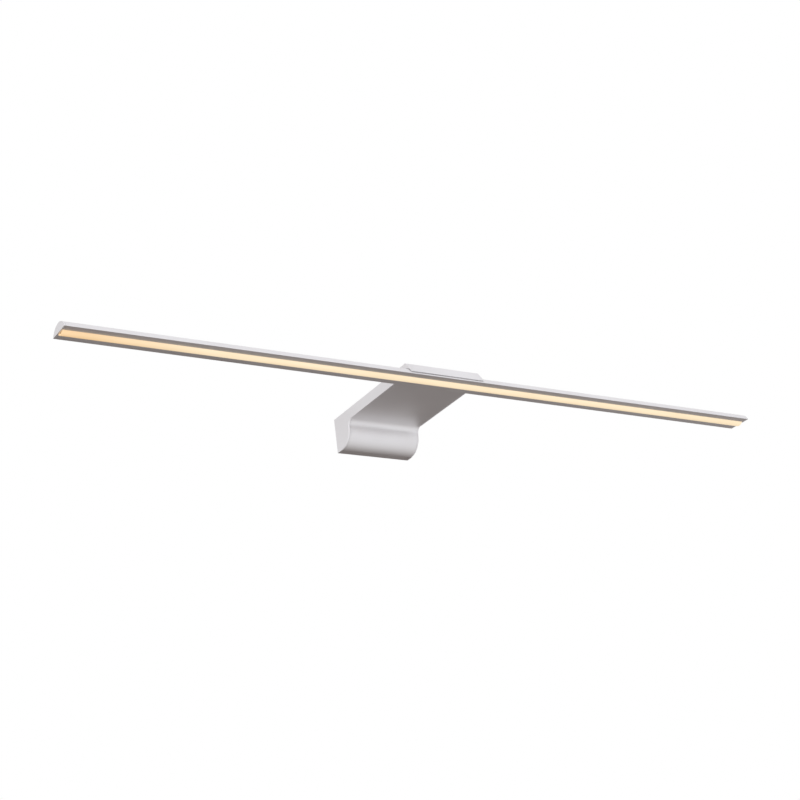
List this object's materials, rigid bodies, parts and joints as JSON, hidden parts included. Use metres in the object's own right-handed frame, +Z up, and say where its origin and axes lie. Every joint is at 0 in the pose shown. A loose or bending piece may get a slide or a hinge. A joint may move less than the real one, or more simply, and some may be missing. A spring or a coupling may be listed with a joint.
{
  "type": "mirror light",
  "caption": "Slim wall-mounted LED light bar for a mirror or picture: a D-section bar with an opal lens held on a J-shaped arm, with a small tilt.",
  "frame": {"origin": "on the wall, at the middle of the wall block's back", "axes": "+X along the bar, +Y into the wall (the lamp stands out towards -Y), +Z up"},
  "size_m": [0.6, 0.117, 0.0284],
  "materials": {
    "satin_metal": "fine satin, light nickel tone",
    "opal_lens": "frosted opal, lit warm white",
    "led_board": "white solder mask",
    "saddle_plastic": "fine texture",
    "spring_steel": "bright",
    "black_steel": "black oxide",
    "zinc_steel": "zinc plated",
    "grommet_rubber": "matte",
    "brass": "bright",
    "white_nylon": "fine texture",
    "circuit_board": "solder mask",
    "lead_blue": "insulation",
    "lead_brown": "insulation",
    "lead_black": "insulation",
    "lead_red": "insulation"
  },
  "bodies": {
    "wall_arm": {"arm_top": "satin_metal", "arm_lower": "satin_metal", "side_plate_left": "satin_metal", "side_plate_right": "satin_metal", "swivel_saddle": "saddle_plastic", "clamp_plate": "spring_steel", "spring_washer_left": "spring_steel", "spring_washer_right": "spring_steel", "swivel_screw_left": "black_steel", "swivel_screw_right": "black_steel", "locking_screw_left": "black_steel", "locking_screw_right": "black_steel", "saddle_screw_left": "zinc_steel", "saddle_screw_right": "zinc_steel", "wall_bracket": "zinc_steel", "driver_screw_inner": "zinc_steel", "driver_screw_outer": "zinc_steel", "cable_grommet": "grommet_rubber", "earth_screw": "brass", "earth_washer": "brass", "terminal_screw_live": "brass", "terminal_screw_neutral": "brass", "terminal_screw_earth": "brass", "terminal_block": "white_nylon", "driver_case": "white_nylon", "driver_lid": "white_nylon", "driver_board": "circuit_board", "mains_lead_neutral": "lead_blue", "mains_lead_live": "lead_brown", "lamp_lead_negative": "lead_black", "lamp_lead_positive": "lead_red"},
    "light_bar": {"bar_profile": "satin_metal", "end_cap_left": "satin_metal", "end_cap_right": "satin_metal", "diffuser": "opal_lens", "led_strip": "led_board"}
  },
  "joints": [
    {"name": "bar_tilt", "type": "hinge", "parent": "wall_arm", "child": "light_bar", "pos_m": [0, -0.1065, -0.00158], "axis": [1, 0, 0], "range_deg": [-15, 15]}
  ]
}
